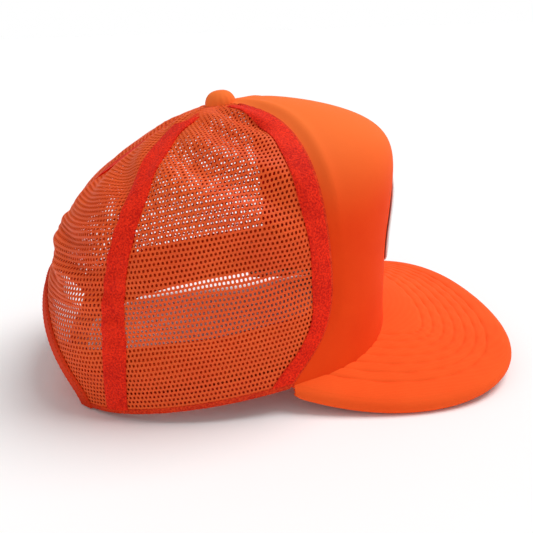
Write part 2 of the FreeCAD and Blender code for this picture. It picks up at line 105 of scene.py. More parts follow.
def directionAt(azimuth, elevation):
    flat = math.cos(elevation)
    return (forward * (flat * math.cos(azimuth)) + toLeft * (flat * math.sin(azimuth))
            + hemUp * math.sin(elevation))


azimuths = np.linspace(-math.pi, math.pi, skin["azimuths"])
elevations = np.radians(np.linspace(skin["lowest"], skin["highest"], skin["elevations"]))
reach = np.full((len(azimuths), len(elevations)), np.nan)
for row, azimuth in enumerate(azimuths):
    for column, elevation in enumerate(elevations):
        for nudge in (0, skin["nudge"], -skin["nudge"]):      # past the hairline gaps between panels
            distance = castInwards(directionAt(azimuth + nudge, elevation))[0]
            if distance is not None:
                reach[row, column] = distance
                break


def fillAround(values):
    # across the rear opening, from one of its edges to the other
    known, rear = ~np.isnan(values), np.abs(azimuths) > math.pi / 2
    if known.any():
        missing = ~known & rear
        values[missing] = np.interp(azimuths[missing], azimuths[known], values[known], period=2 * math.pi)
    return values


def fillGaps(values):
    known = np.flatnonzero(~np.isnan(values))
    return np.interp(np.arange(len(values)), known, values[known])


def soften(grid, passes):
    for _ in range(passes):
        around = np.vstack([grid[-2], grid, grid[1]])     # the first and last azimuth are the same
        grid = (around[:-2] + 2 * around[1:-1] + around[2:]) / 4
        grid[:, 1:-1] = (grid[:, :-2] + 2 * grid[:, 1:-1] + grid[:, 2:]) / 4
    return grid


reach = np.array([fillAround(values) for values in reach.T]).T
reach = soften(np.array([fillGaps(values) for values in reach]), skin["passes"])
around = azimuths[:, None]
rise = elevations[None, :]
meridians = np.stack([reach * np.cos(rise) * np.cos(around), reach * np.cos(rise) * np.sin(around),
                      reach * np.sin(rise)], axis=-1)
hemRing = meridians[:, :1] * np.array([1, 1, 0])
pole = np.broadcast_to(meridians[:, -1:, 2:].mean() * np.array([0, 0, 1.0]), hemRing.shape)
meridians = np.concatenate([hemRing, meridians, pole], axis=1)
steps = np.linalg.norm(np.diff(meridians, axis=1), axis=2)
travelled = np.concatenate([np.zeros((len(azimuths), 1)), np.cumsum(steps, axis=1)], axis=1)
meridianLength = travelled[:, -1]
rows = np.arange(0, meridianLength.max() + skin["rowStep"], skin["rowStep"])
skinPoints = np.array([[np.interp(rows, travelled[index], meridians[index, :, axis]) for axis in range(3)]
                       for index in range(len(azimuths))]).transpose(0, 2, 1)


def gridNormals(points):
    along = np.gradient(np.vstack([points[-2:-1], points, points[1:2]]), axis=0)[1:-1]
    upwards = np.gradient(points, axis=1)
    normals = np.cross(along, upwards)
    size = np.linalg.norm(normals, axis=2, keepdims=True)
    normals = np.where(size > 1e-9, normals / np.maximum(size, 1e-9), np.array([0, 0, 1.0]))
    return normals


skinNormals = gridNormals(skinPoints)


def sampleGrid(grid, azimuth, height):
    azimuth = (np.asarray(azimuth) + math.pi) % (2 * math.pi)
    column = np.clip(azimuth / (2 * math.pi) * (len(azimuths) - 1), 0, len(azimuths) - 1.001)
    row = np.clip(np.asarray(height) / skin["rowStep"], 0, len(rows) - 1.001)
    left, below = column.astype(int), row.astype(int)
    u, v = (column - left), (row - below)
    if grid.ndim == 3:
        u, v = u[..., None], v[..., None]
    return ((1 - u) * (1 - v) * grid[left, below] + u * (1 - v) * grid[left + 1, below]
            + (1 - u) * v * grid[left, below + 1] + u * v * grid[left + 1, below + 1])


def lengthAt(azimuth):
    wrapped = (np.asarray(azimuth) + math.pi) % (2 * math.pi) - math.pi
    return np.interp(wrapped, azimuths, meridianLength)


# seams: where one packed panel gives way to the next, as an azimuth for each row
seamSearch = {"foot": 2 * mm, "top": 6 * mm, "step": 3 * mm, "halvings": 12, "front": (0, 115),
              "side": (105, 176)}
seamRows = np.arange(seamSearch["foot"], meridianLength.min() - seamSearch["top"], seamSearch["step"])


def ownerAt(azimuth, height):
    point = sampleGrid(skinPoints, np.array(azimuth), np.array(height))
    direction = Vector(point @ hemMatrix).normalized()
    face = castInwards(direction)[1]
    return panelOwners[face] if face is not None else None


def findSeam(inside, degrees):
    found = []
    for height in seamRows:
        low, high = (math.radians(value) for value in degrees)
        for _ in range(seamSearch["halvings"]):
            middle = (low + high) / 2
            low, high = (middle, high) if ownerAt(middle, height) == inside else (low, middle)
        found.append((low + high) / 2)
    return np.array(found)


frontSeam = findSeam("front_panel_cover", seamSearch["front"])
sideSeam = findSeam("side_mesh_left", seamSearch["side"])


def seamAt(seam, height):
    return np.interp(height, seamRows, seam)


print("stage: crown measured, front seam %.0f-%.0f deg, side seam %.0f-%.0f deg"
      % tuple(math.degrees(v) for v in (frontSeam.min(), frontSeam.max(), sideSeam.min(), sideSeam.max())))


# the rear opening, as its half width, height and straight foot
arch = {"binding": 8.0 * mm, "foot": 6.0 * mm, "height": 50.0 * mm, "footShare": 0.04, "behind": 0.2,
        "searchFrom": 1.9, "halvings": 16, "outside": 9.0}
arch["half"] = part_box("rear_arch_binding")[1][1] - arch["binding"]


def archReach(local, grow=0.0):
    # 1 on the edge of the rear opening grown by this much, less inside it
    y, z = np.abs(local[..., 1]) / (arch["half"] + grow), np.maximum(local[..., 2] - arch["foot"], 0)
    reached = np.hypot(y, z / (arch["height"] + grow - arch["foot"]))
    return np.where(local[..., 0] < 0, reached, arch["outside"])


# folds: how far the soft crown stands off its cut shape, out (+) or in (-)
folds = {"puff": 1.1 * mm, "slack": 2.3 * mm, "ribs": 0.8 * mm, "ribPitch": 11 * mm, "crease": 3.2 * mm,
         "creaseTurn": 1.85, "creaseHeight": 62 * mm, "creaseSlope": 92 * mm, "creaseWidth": 0.16,
         "creaseReach": 0.5, "creaseLean": (0.85, 1.18), "foamRoll": 1.3 * mm, "edgeRoll": 1.1 * mm,
         "rollAway": 6 * mm, "rollWidth": 3.2 * mm, "rollRise": (60 * mm, 100 * mm), "archCalm": (1.15, 1.6),
         "footCalm": (4 * mm, 34 * mm), "topCalm": (6 * mm, 30 * mm), "meshStart": 0.35,
         "puffWidth": 14 * mm, "padWidth": 7 * mm, "slackWidth": 12 * mm, "rearTurn": (2.0, 2.6),
         "rearFoot": (25 * mm, 50 * mm), "rearTop": (85 * mm, 110 * mm)}
rng = np.random.default_rng(11)
waves = [(rng.uniform(1.5, 6.5), rng.uniform(18, 70), rng.uniform(0, cycle), rng.uniform(0.5, 1.0))
         for _ in range(9)]      # turns round, height in mm, start, share


def smoothStep(value, start, end):
    t = np.clip((value - start) / (end - start), 0, 1)
    return t * t * (3 - 2 * t)


def seamDistance(azimuth, height):
    turn = np.abs((np.asarray(azimuth) + math.pi) % (2 * math.pi) - math.pi)
    point = sampleGrid(skinPoints, azimuth, height)
    radius = np.hypot(point[..., 0], point[..., 1])
    away = np.stack([np.abs(turn - seamAt(frontSeam, height)), np.abs(turn - seamAt(sideSeam, height)),
                     np.abs(turn - math.pi)])
    return away.min(axis=0) * radius


def foldAt(azimuth, height):
    turn = np.abs((np.asarray(azimuth) + math.pi) % (2 * math.pi) - math.pi)
    awayFromArch = smoothStep(archReach(sampleGrid(skinPoints, azimuth, height)), *folds["archCalm"])
    calm = smoothStep(height, *folds["footCalm"]) * smoothStep(lengthAt(azimuth) - height, *folds["topCalm"])
    calm = calm * awayFromArch
    meshed = smoothStep(turn, seamAt(frontSeam, height), seamAt(frontSeam, height) + folds["meshStart"])
    fromSeam = seamDistance(azimuth, height)
    slack = 0
    for turns, length, phase, share in waves:
        slack = slack + share * np.sin(turns * azimuth * 2 + phase + height / mm / length * cycle)
    slack = slack / 3 * smoothStep(fromSeam, 0, folds["slackWidth"])
    lift = folds["puff"] * (smoothStep(fromSeam, 0, folds["puffWidth"]) - 0.5) * calm
    padding = folds["foamRoll"] * (smoothStep(fromSeam, 0, folds["padWidth"]) - 0.4) * calm
    roll = folds["edgeRoll"] * np.exp(-((fromSeam - folds["rollAway"]) / folds["rollWidth"]) ** 2)
    roll = roll * smoothStep(height, *folds["rollRise"])
    lift = lift + (padding + roll) * (turn < seamAt(frontSeam, height))
    lift = lift + folds["slack"] * slack * calm * meshed
    rear = smoothStep(turn, *folds["rearTurn"]) * smoothStep(height, *folds["rearFoot"])
    ribs = np.sin(height / folds["ribPitch"] * cycle + 1.2 * np.sin(azimuth * 5))
    lift = lift + folds["ribs"] * ribs * rear * (1 - smoothStep(height, *folds["rearTop"])) * awayFromArch
    aside = turn - folds["creaseTurn"]      # a slanting fold over each side panel
    leanAcross, leanUp = folds["creaseLean"]
    across = aside * leanAcross + (height - folds["creaseHeight"]) / folds["creaseSlope"] * leanUp
    dent = np.exp(-(across / folds["creaseWidth"]) ** 2) * np.exp(-(aside / folds["creaseReach"]) ** 2)
    return lift - folds["crease"] * dent * meshed * calm


def onCrown(azimuth, height, lift):
    azimuth, height = np.asarray(azimuth, float), np.asarray(height, float)
    base = sampleGrid(skinPoints, azimuth, height)
    normal = sampleGrid(skinNormals, azimuth, height)
    normal = normal / np.linalg.norm(normal, axis=-1, keepdims=True)
    out = np.asarray(lift) + foldAt(azimuth, height)
    return toWorld(base + normal * out[..., None] if np.ndim(out) else base + normal * out)


# shaders: a socket that can be written in sums
class Wire:
    def __init__(self, tree, socket):
        self.tree, self.socket = tree, socket

    def math(self, operation, first, second):
        node = self.tree.nodes.new("ShaderNodeMath")
        node.operation = operation
        for slot, value in enumerate((first, second)):
            if isinstance(value, Wire):
                self.tree.links.new(value.socket, node.inputs[slot])
            else:
                node.inputs[slot].default_value = value
        return Wire(self.tree, node.outputs[0])

    def __add__(self, other):
        return self.math("ADD", self, other)

    def __radd__(self, other):
        return self.math("ADD", other, self)

    def __mul__(self, other):
        return self.math("MULTIPLY", self, other)

    def __rmul__(self, other):
        return self.math("MULTIPLY", other, self)

    def __sub__(self, other):
        return self.math("SUBTRACT", self, other)

    def __rsub__(self, other):
        return self.math("SUBTRACT", other, self)


class Finish:
    def __init__(self, name):
        self.material = bpy.data.materials.new(name)
        self.material.use_nodes = True
        self.tree = self.material.node_tree
        self.shader = self.tree.nodes["Principled BSDF"]
        self.place = self.add("ShaderNodeTexCoord")["Object"]

    def add(self, kind, settings=None, **inputs):
        node = self.tree.nodes.new(kind)
        for name, value in (settings or {}).items():
            if name == "stops":
                ramp = node.color_ramp
                while len(ramp.elements) < len(value):
                    ramp.elements.new(0.5)
                for element, (position, colour) in zip(ramp.elements, value):
                    element.position, element.color = position, (*colour, 1)
            else:
                setattr(node, name, value)
        for name, value in inputs.items():
            byNumber = name[0] == "i" and name[1:].isdigit()      # i6 is the seventh socket
            socket = node.inputs[int(name[1:]) if byNumber else name]
            if isinstance(value, Wire):
                self.tree.links.new(value.socket, socket)
            else:
                socket.default_value = value
        return {output.name: Wire(self.tree, output) for output in node.outputs if output.enabled}

    def noise(self, scale, detail=3.0, roughness=0.55, where=None):
        return self.add("ShaderNodeTexNoise", Vector=where or self.place, Scale=scale, Detail=detail,
                        Roughness=roughness)["Fac"]

    def wave(self, scale, axis="X", where=None, profile="SIN", distortion=0.0):
        settings = {"wave_type": "BANDS", "bands_direction": axis, "wave_profile": profile}
        return self.add("ShaderNodeTexWave", settings, Vector=where or self.place, Scale=scale,
                        Distortion=distortion)["Fac"]

    def threads(self, pitch, axis, where=None):
        # one band for each thread, pitch in millimetres
        return self.wave(1 / (pitch * mm) / cycle * 2, axis, where)

    def turned(self, rotation):
        return self.add("ShaderNodeMapping", Vector=self.place, Rotation=rotation)["Vector"]

    def blend(self, factor, first, second):
        settings = {"data_type": "RGBA"}
        return self.add("ShaderNodeMix", settings, i0=factor, i6=first, i7=second)["Result"]

    def bump(self, height, strength, distance):
        return self.add("ShaderNodeBump", Height=height, Strength=strength, Distance=distance)["Normal"]

    def set(self, **inputs):
        for name, value in inputs.items():
            socket = self.shader.inputs[name.replace("_", " ")]
            if isinstance(value, Wire):
                self.tree.links.new(value.socket, socket)
            else:
                socket.default_value = value
        return self.material


def rgb(red, green, blue):
    linear = [channel / 12.92 if channel <= 0.04045 else ((channel + 0.055) / 1.055) ** 2.4
              for channel in (red / 255, green / 255, blue / 255)]
    return (*linear, 1)


# modelling helpers
def deselectAll():
    if bpy.context.mode != "OBJECT":
        bpy.ops.object.mode_set(mode="OBJECT")
    bpy.ops.object.select_all(action="DESELECT")


def activate(piece):
    deselectAll()
    piece.select_set(True)
    bpy.context.view_layer.objects.active = piece


def applyModifiers(piece):
    activate(piece)
    for modifier in list(piece.modifiers):
        bpy.ops.object.modifier_apply(modifier=modifier.name)


def flatGrid(name, columns, rowCount):
    # a flat sheet one unit square, with its lower left corner at the origin
    deselectAll()
    bpy.ops.mesh.primitive_grid_add(x_subdivisions=columns, y_subdivisions=rowCount, size=1,
                                    location=(0.5, 0.5, 0))
    piece = bpy.context.active_object
    piece.name = piece.data.name = name
    bpy.ops.object.transform_apply(location=True, rotation=True, scale=True)
    return piece


def pointsOf(piece):
    flat = np.empty(len(piece.data.vertices) * 3)
    piece.data.vertices.foreach_get("co", flat)
    return flat.reshape(-1, 3)


def movePoints(piece, points):
    piece.data.vertices.foreach_set("co", np.asarray(points, float).ravel())
    piece.data.update()


def thicken(piece, thickness, offset=-1.0):
    modifier = piece.modifiers.new("wall", "SOLIDIFY")
    modifier.thickness = thickness
    modifier.offset = offset
    applyModifiers(piece)


def faceOutwards(piece):
    activate(piece)
    bpy.ops.object.mode_set(mode="EDIT")
    bpy.ops.mesh.select_all(action="SELECT")
    bpy.ops.mesh.normals_make_consistent(inside=False)
    bpy.ops.object.mode_set(mode="OBJECT")


def weld(piece, distance):
    activate(piece)
    bpy.ops.object.mode_set(mode="EDIT")
    bpy.ops.mesh.select_all(action="SELECT")
    bpy.ops.mesh.remove_doubles(threshold=distance)
    bpy.ops.object.mode_set(mode="OBJECT")


def finishPiece(piece, material, body="cap", nodes=(), angle=40):
    activate(piece)
    bpy.ops.object.shade_smooth_by_angle(angle=math.radians(angle))
    piece.data.materials.clear()
    piece.data.materials.append(material)
    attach(piece, body)
    if nodes:
        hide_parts(*nodes)
    return piece


def scatter(name, model, centres, alongs, normals):
    # one mesh of many copies of a small model: X along the row, Z off the surface
    base = pointsOf(model)
    faces = [list(polygon.vertices) for polygon in model.data.polygons]
    alongs = alongs / np.linalg.norm(alongs, axis=1, keepdims=True)
    sides = np.cross(normals, alongs)
    sides = sides / np.linalg.norm(sides, axis=1, keepdims=True)
    tops = np.cross(alongs, sides)
    placed = (base[None, :, :1] * alongs[:, None] + base[None, :, 1:2] * sides[:, None]
              + base[None, :, 2:] * tops[:, None] + centres[:, None])
    count = len(base)
    mesh = bpy.data.meshes.new(name)
    copiedFaces = [[copy * count + index for index in face]
                   for copy in range(len(centres)) for face in faces]
    mesh.from_pydata(placed.reshape(-1, 3).tolist(), [], copiedFaces)
    piece = bpy.data.objects.new(name, mesh)
    scene.collection.objects.link(piece)
    return piece


def stitchModel(length, width):
    # one stitch of thread: a slim bead, flat ends buried in the cloth
    deselectAll()
    bpy.ops.mesh.primitive_uv_sphere_add(segments=8, ring_count=5, radius=0.5)
    bead = bpy.context.active_object
    bpy.ops.object.mode_set(mode="EDIT")
    bpy.ops.mesh.select_all(action="SELECT")
    bpy.ops.transform.rotate(value=math.pi / 2, orient_axis="Y", center_override=(0, 0, 0))
    bpy.ops.transform.resize(value=(length, width, width))
    bpy.ops.object.mode_set(mode="OBJECT")
    return bead


def drop(piece):
    bpy.data.objects.remove(piece, do_unlink=True)


# finishes
# the paler knit colour for the crown's top is a painted highlight, standing in for the light falling there
colours = {"knit": rgb(226, 50, 6), "knitLight": rgb(246, 82, 20), "knitHighlight": rgb(255, 130, 58),
           "mesh": rgb(255, 116, 40), "meshDeep": rgb(216, 34, 2), "visor": rgb(242, 76, 22),
           "visorLight": rgb(255, 104, 42), "tape": rgb(255, 48, 12), "thread": rgb(236, 84, 34),
           "band": rgb(255, 104, 34),
           "patch": rgb(244, 238, 234), "patchShade": rgb(226, 216, 212), "plastic": rgb(234, 70, 26)}


def knitFinish(name, dark, light, gauge=0.55, top=None):
    # fine warp knit over foam: staggered loops, soft mottling and a slight bloom
    finish = Finish(name)
    mottle = finish.noise(38, 4)
    fuzz = finish.noise(1400, 2, 0.7)
    if top:      # painted highlight: the colour is painted paler towards the crown's top, where the light falls
        rise = finish.add("ShaderNodeSeparateXYZ", Vector=finish.place)["Z"]
        highlightShare = finish.add("ShaderNodeMapRange", {"interpolation_type": "SMOOTHSTEP"}, i0=rise, i1=85 * mm,
                           i2=140 * mm, i3=0.0, i4=0.75)["Result"]
        light = finish.blend(highlightShare, light, top)
        dark = finish.blend(highlightShare, dark, top)
    loops = finish.threads(gauge, "X") * finish.threads(gauge, "Z")
    tone = 0.55 * mottle + 0.25 * fuzz + 0.2 * loops
    return finish.set(Base_Color=finish.blend(tone, dark, light), Roughness=0.78 + 0.15 * fuzz,
                      Specular_IOR_Level=0.12, Sheen_Weight=0.03, Sheen_Roughness=0.4,
                      Sheen_Tint=rgb(255, 140, 60),
                      Normal=finish.bump(0.6 * loops + 0.4 * fuzz, 0.35, 0.2 * mm))


def meshFinish(name, dark, light):
    # bright polyester net: hard twisted threads with small glints
    finish = Finish(name)
    mottle = finish.noise(30, 3)
    strands = finish.wave(520, "Z", distortion=1.5) * 0.6 + 0.4 * finish.noise(2200, 2)
    tone = 0.45 * mottle + 0.55 * strands
    return finish.set(Base_Color=finish.blend(tone, dark, light), Roughness=0.48 + 0.2 * strands,
                      Specular_IOR_Level=0.25,
                      Normal=finish.bump(strands, 0.5, 0.12 * mm))


def wovenFinish(name, dark, light, pitch=0.7, roughness=0.82, slant=0.0):
    # plain or twill weave: two crossing sets of threads
    finish = Finish(name)
    place = finish.turned((0, slant, 0))
    threads = finish.threads(pitch, "X", place) * 0.5 + finish.threads(pitch, "Z", place) * 0.5
    mottle = finish.noise(45, 3)
    tone = threads * 0.4 + mottle * 0.6
    return finish.set(Base_Color=finish.blend(tone, dark, light), Roughness=roughness,
                      Specular_IOR_Level=0.15,
                      Normal=finish.bump(threads, 0.5, 0.25 * mm))


def plasticFinish(name, dark, light):
    finish = Finish(name)
    grain = finish.noise(900, 2)
    cloud = finish.noise(24, 3)
    return finish.set(Base_Color=finish.blend(cloud, dark, light), Roughness=0.34 + 0.16 * grain,
                      Subsurface_Weight=0.15, Subsurface_Radius=(3 * mm, 1 * mm, 0.6 * mm),
                      Normal=finish.bump(grain, 0.12, 0.08 * mm))


def steelFinish(name):
    finish = Finish(name)
    scratch = finish.noise(700, 3)
    return finish.set(Base_Color=finish.blend(scratch, rgb(150, 150, 152), rgb(196, 196, 198)), Metallic=1.0,
                      Roughness=0.3 + 0.25 * scratch)


def lumpyFinish(name, dark, light):
    # folded mesh edges under a net: loops lying every way
    finish = Finish(name)
    lumps = finish.noise(1150, 2, 0.6)
    broad = finish.noise(90, 2)
    tone = finish.add("ShaderNodeMapRange", None, i0=lumps * 0.75 + broad * 0.25, i1=0.38, i2=0.62)["Result"]
    return finish.set(Base_Color=finish.blend(tone, dark, light), Roughness=0.7,
                      Specular_IOR_Level=0.15, Normal=finish.bump(lumps, 0.9, 0.5 * mm))


knit = knitFinish("front knit", colours["knit"], colours["knitLight"], top=colours["knitHighlight"])
visorKnit = knitFinish("visor knit", colours["visor"], colours["visorLight"], 0.6)
netting = meshFinish("mesh", colours["meshDeep"], colours["mesh"])
tapeCloth = lumpyFinish("seam tape", rgb(196, 16, 0), colours["tape"])
bandCloth = wovenFinish("sweatband twill", rgb(236, 58, 12), colours["band"], 0.8, 0.85, 0.7)
liningCloth = wovenFinish("visor lining", rgb(224, 62, 22), rgb(244, 88, 40), 0.6)
bindingCloth = wovenFinish("binding tape", rgb(200, 36, 8), rgb(234, 70, 22), 0.7)
meshCloth = lumpyFinish("folded mesh", rgb(190, 30, 6), rgb(236, 70, 26))
patchCloth = wovenFinish("patch twill", colours["patchShade"], colours["patch"], 0.6, 0.75, 0.8)
threadCloth = wovenFinish("thread", rgb(206, 56, 18), colours["thread"], 0.25, 0.5)
# the visor's stitches are painted darker than their thread: painted shade for the stitches sunk into the
# quilting
visorShadedThread = wovenFinish("visor stitches painted shade", rgb(150, 30, 8), rgb(196, 52, 16), 0.25, 0.6)
patchThread = wovenFinish("patch thread", rgb(232, 226, 222), rgb(250, 247, 244), 0.25, 0.42)
strapPlastic = plasticFinish("strap plastic", colours["plastic"], rgb(246, 96, 46))
boardPlastic = plasticFinish("visor board", rgb(214, 212, 204), rgb(230, 228, 222))
steel = steelFinish("pressed steel")
print("stage: finishes made")


# mesh panels: a net with real holes, laid over the crown gore by gore
net = {"pitch": 2.0 * mm, "rowPitch": 2.35 * mm, "thread": 0.76 * mm, "round": 0.7, "tall": 1.22,
       "thickness": 0.5 * mm, "crest": 0.14 * mm, "ribLift": 0.16 * mm, "sink": 0.35 * mm,
       "hemGap": 1.2 * mm, "buttonGap": 7.0 * mm, "archGap": 2.5 * mm, "half": 90 * mm, "span": 1.25,
       "sideMiddle": 108, "rearMiddle": 158}


def netCell(shift):
    # a square of net round one hole: eight corners outside and eight on the hole's edge
    deselectAll()
    bpy.ops.mesh.primitive_grid_add(x_subdivisions=2, y_subdivisions=2, size=net["pitch"])
    cell = bpy.context.active_object
    bpy.ops.object.mode_set(mode="EDIT")
    bpy.ops.mesh.select_mode(type="FACE")
    bpy.ops.mesh.select_all(action="SELECT")
    bpy.ops.mesh.inset(thickness=net["thread"] / 2, use_boundary=True)
    bpy.ops.transform.tosphere(value=net["round"], center_override=(0, 0, 0))
    bpy.ops.transform.resize(value=(1, net["tall"] * net["pitch"] / net["rowPitch"], 1),
                             center_override=(0, 0, 0))
    bpy.ops.mesh.delete(type="FACE")
    bpy.ops.mesh.select_all(action="SELECT")
    bpy.ops.transform.resize(value=(1, net["rowPitch"] / net["pitch"], 1), center_override=(0, 0, 0))
    bpy.ops.transform.translate(value=(shift * net["pitch"] / 2, shift * net["rowPitch"], 0))
    bpy.ops.object.mode_set(mode="OBJECT")
    return cell


def netUnit():
    # two staggered cells, one above the other
    low, high = netCell(0), netCell(1)
    activate(low)
    high.select_set(True)
    bpy.ops.object.join()
    return low


def repeatAlong(piece, step, axis, count):
    array = piece.modifiers.new("rows", "ARRAY")
    array.use_relative_offset = False
    array.use_constant_offset = True
    array.constant_offset_displace = [step if index == axis else 0 for index in range(3)]
    array.count = count


def rowArcs(height, middle, span):
    # azimuth against distance along one row, measured from the panel's middle
    turns = np.linspace(middle - span, middle + span, 161)
    points = sampleGrid(skinPoints, turns, np.full(len(turns), height))
    along = np.concatenate([[0], np.cumsum(np.linalg.norm(np.diff(points, axis=0), axis=1))])
    return turns, along - along[80]


def removeFaces(piece, marked):
    activate(piece)
    bpy.ops.object.mode_set(mode="EDIT")
    bpy.ops.mesh.select_mode(type="FACE")
    bpy.ops.mesh.select_all(action="DESELECT")
    bpy.ops.object.mode_set(mode="OBJECT")
    piece.data.polygons.foreach_set("select", marked)
    bpy.ops.object.mode_set(mode="EDIT")
    bpy.ops.mesh.delete(type="FACE")
    bpy.ops.object.mode_set(mode="OBJECT")


def flipFaces(piece):
    activate(piece)
    bpy.ops.object.mode_set(mode="EDIT")
    bpy.ops.mesh.select_all(action="SELECT")
    bpy.ops.mesh.flip_normals()
    bpy.ops.object.mode_set(mode="OBJECT")


def netPanel(name, middle, edges, side):
    # edges(height) gives the panel's two seams as turns away from the front, both positive
    panel = netUnit()
    panel.name = panel.data.name = name
    tall = float(meridianLength.max())
    repeatAlong(panel, net["pitch"], 0, int(2 * net["half"] / net["pitch"]))
    repeatAlong(panel, 2 * net["rowPitch"], 1, int(tall / net["rowPitch"] / 2) + 1)
    applyModifiers(panel)
    weld(panel, 0.08 * mm)
    flat = pointsOf(panel)
    cellX, cellY = flat[:, 0] / net["pitch"] * 2, flat[:, 1] / net["rowPitch"] * 2
    crest = np.maximum(np.abs(cellX - np.round(cellX)), np.abs(cellY - np.round(cellY))) < 0.02
    flat[:, 0] -= net["half"]
    flat[:, 1] += net["hemGap"] + net["rowPitch"] / 2
    turn = np.zeros(len(flat))
    for height in np.unique(np.round(flat[:, 1], 6)):
        here = np.abs(flat[:, 1] - height) < 1e-6
        turns, along = rowArcs(height, middle, net["span"])
        turn[here] = np.interp(flat[here, 0], along, turns)
    height = flat[:, 1]
    low, high = edges(height)
    ribbed = np.abs((height - net["hemGap"]) / (2 * net["rowPitch"]) % 1) < 0.02
    local = sampleGrid(skinPoints, turn, height)
    margin = 0.25 * net["pitch"] / np.maximum(np.hypot(local[:, 0], local[:, 1]), 5 * mm)
    outside = ((turn < low - margin) | (turn > high + margin) | (archReach(local, net["archGap"]) < 1)
               | (height > lengthAt(turn) - net["buttonGap"]))
    marked = np.array([outside[list(polygon.vertices)].sum() > len(polygon.vertices) / 2
                       for polygon in panel.data.polygons])
    turn = np.clip(turn, low, high)
    lift = net["ribLift"] * ribbed + net["crest"] * crest - net["sink"]
    movePoints(panel, onCrown(turn * side, height, lift))
    removeFaces(panel, marked)
    if side < 0:
        flipFaces(panel)
    thicken(panel, net["thickness"], 0.0)
    return finishPiece(panel, netting, nodes=[name.replace("net", "mesh")], angle=60)


def sideEdges(height):
    return seamAt(frontSeam, height), seamAt(sideSeam, height)


def rearEdges(height):
    return seamAt(sideSeam, height), np.full(len(height), math.pi - 0.001)


for sideName, side in sides:
    netPanel("side_net_" + sideName, math.radians(net["sideMiddle"]), sideEdges, side)
    netPanel("rear_net_" + sideName, math.radians(net["rearMiddle"]), rearEdges, side)
print("stage: mesh panels laid")


# sheets: a flat grid moved into place by place(u, v), with u and v from 0 to 1
def sheetPiece(name, columns, rowCount, place, thickness, closed=False):
    piece = flatGrid(name, columns, rowCount)
    flat = pointsOf(piece)
    movePoints(piece, place(flat[:, 0], flat[:, 1]))
    if closed:
        weld(piece, 0.02 * mm)
    thicken(piece, thickness)
    faceOutwards(piece)
    return piece


def join(name, pieces):
    activate(pieces[0])
    for piece in pieces[1:]:
        piece.select_set(True)
    bpy.ops.object.join()
    pieces[0].name = pieces[0].data.name = name
    return pieces[0]


# front panel: a knit face over foam, one gore between the two front seams
front = {"footTuck": 2.0 * mm, "buttonGap": 6.0 * mm, "seamGap": 0.004, "knit": 0.8 * mm, "foam": 2.3 * mm,
         "knitLift": 0.1 * mm, "foamLift": -0.85 * mm, "footTurn": 88, "footSamples": 45,
         "footSearch": 40 * mm}
footTurns = np.radians(np.linspace(-front["footTurn"], front["footTurn"], front["footSamples"]))


def footHeight(azimuth):
    low, high = 0.0, front["footSearch"]
    for _ in range(seamSearch["halvings"]):
        middle = (low + high) / 2
        low, high = (low, middle) if ownerAt(azimuth, middle) == "front_panel_cover" else (middle, high)
    return high


footHeights = np.array([footHeight(azimuth) for azimuth in footTurns])
footHeights[footHeights > front["footSearch"] - 1 * mm] = 0      # no front panel there


def footAt(azimuth):
    return np.interp(azimuth, footTurns, footHeights)


def frontPlace(lift):
    def place(u, v):
        across = 2 * u - 1
        azimuth = across * seamAt(frontSeam, 0)
        for _ in range(3):          # the seam's azimuth hangs on the height, and the foot on the azimuth
            start = np.maximum(footAt(azimuth) - front["footTuck"], 0)
            height = start + v * (lengthAt(azimuth) - front["buttonGap"] - start)
            azimuth = across * (seamAt(frontSeam, height) - front["seamGap"])
        return onCrown(azimuth, height, lift)
    return place


frontKnit = sheetPiece("front_knit", 120, 90, frontPlace(front["knitLift"]), front["knit"])
finishPiece(frontKnit, knit, nodes=["front_panel_cover"], angle=60)
frontFoam = sheetPiece("front_foam", 90, 70, frontPlace(front["foamLift"]), front["foam"])
finishPiece(frontFoam, liningCloth, nodes=["front_panel_foam"], angle=60)
print("stage: front panel laid")


# seams: a wide band of doubled mesh over the net, and a narrow welt along its middle or edge
seam = {"welt": 1.8 * mm, "weltLift": 0.6 * mm, "weltSink": 0.35 * mm, "weltWall": 0.5 * mm,
        "tape": 10.5 * mm, "tapeLift": 0.15 * mm, "tapeEdge": 0.5 * mm, "tapeWall": 0.9 * mm,
        "foot": 1.0 * mm, "end": 6.5 * mm, "tapeEnd": 14 * mm, "tapeFoot": 2 * mm, "archGap": 3 * mm}


def alongSeam(path, side, width, start, end, lift, shift=0.0):
    # path(height) is the seam's azimuth on the wearer's left; lift(u) shapes the strip across
    def place(u, v):
        height = start + v * (meridianLength.min() - end - start)
        turn = path(height)
        local = sampleGrid(skinPoints, turn, height)
        radius = np.maximum(np.hypot(local[:, 0], local[:, 1]), 4 * mm)
        turn = turn + ((u - 0.5) * width + shift) / radius
        return onCrown(turn * side, height, lift(u))
    return place


def frontPath(height):
    return seamAt(frontSeam, height)


def sidePath(height):
    return seamAt(sideSeam, height)


def rearPath(height):
    return np.full(np.shape(height), math.pi)


def weltLift(u):
    return seam["weltLift"] * np.sqrt(np.maximum(1 - (2 * u - 1) ** 2, 0)) - seam["weltSink"]


def tapeLift(u):
    return seam["tapeLift"] - seam["tapeEdge"] * (2 * u - 1) ** 4      # its edges turn down


def seamPieces(label, path, side, start, shift):
    welt = sheetPiece(label.replace("tape", "welt"), 6, 150,
                      alongSeam(path, side, seam["welt"], start, seam["end"], weltLift), seam["weltWall"])
    finishPiece(welt, meshCloth, angle=60)
    tapePlace = alongSeam(path, side, seam["tape"], start + seam["tapeFoot"], seam["tapeEnd"], tapeLift,
                          shift)
    tape = sheetPiece(label.replace("seam", "inner"), 8, 150, tapePlace, seam["tapeWall"])
    finishPiece(tape, tapeCloth, nodes=[label], angle=60)


for sideName, side in sides:
    seamPieces("front_seam_tape_" + sideName, frontPath, side, seam["foot"], seam["tape"] / 2)
    seamPieces("side_seam_tape_" + sideName, sidePath, side, seam["foot"], 0.0)
seamPieces("rear_seam_tape", rearPath, 1, arch["height"] + seam["archGap"], 0.0)
print("stage: seams taped")


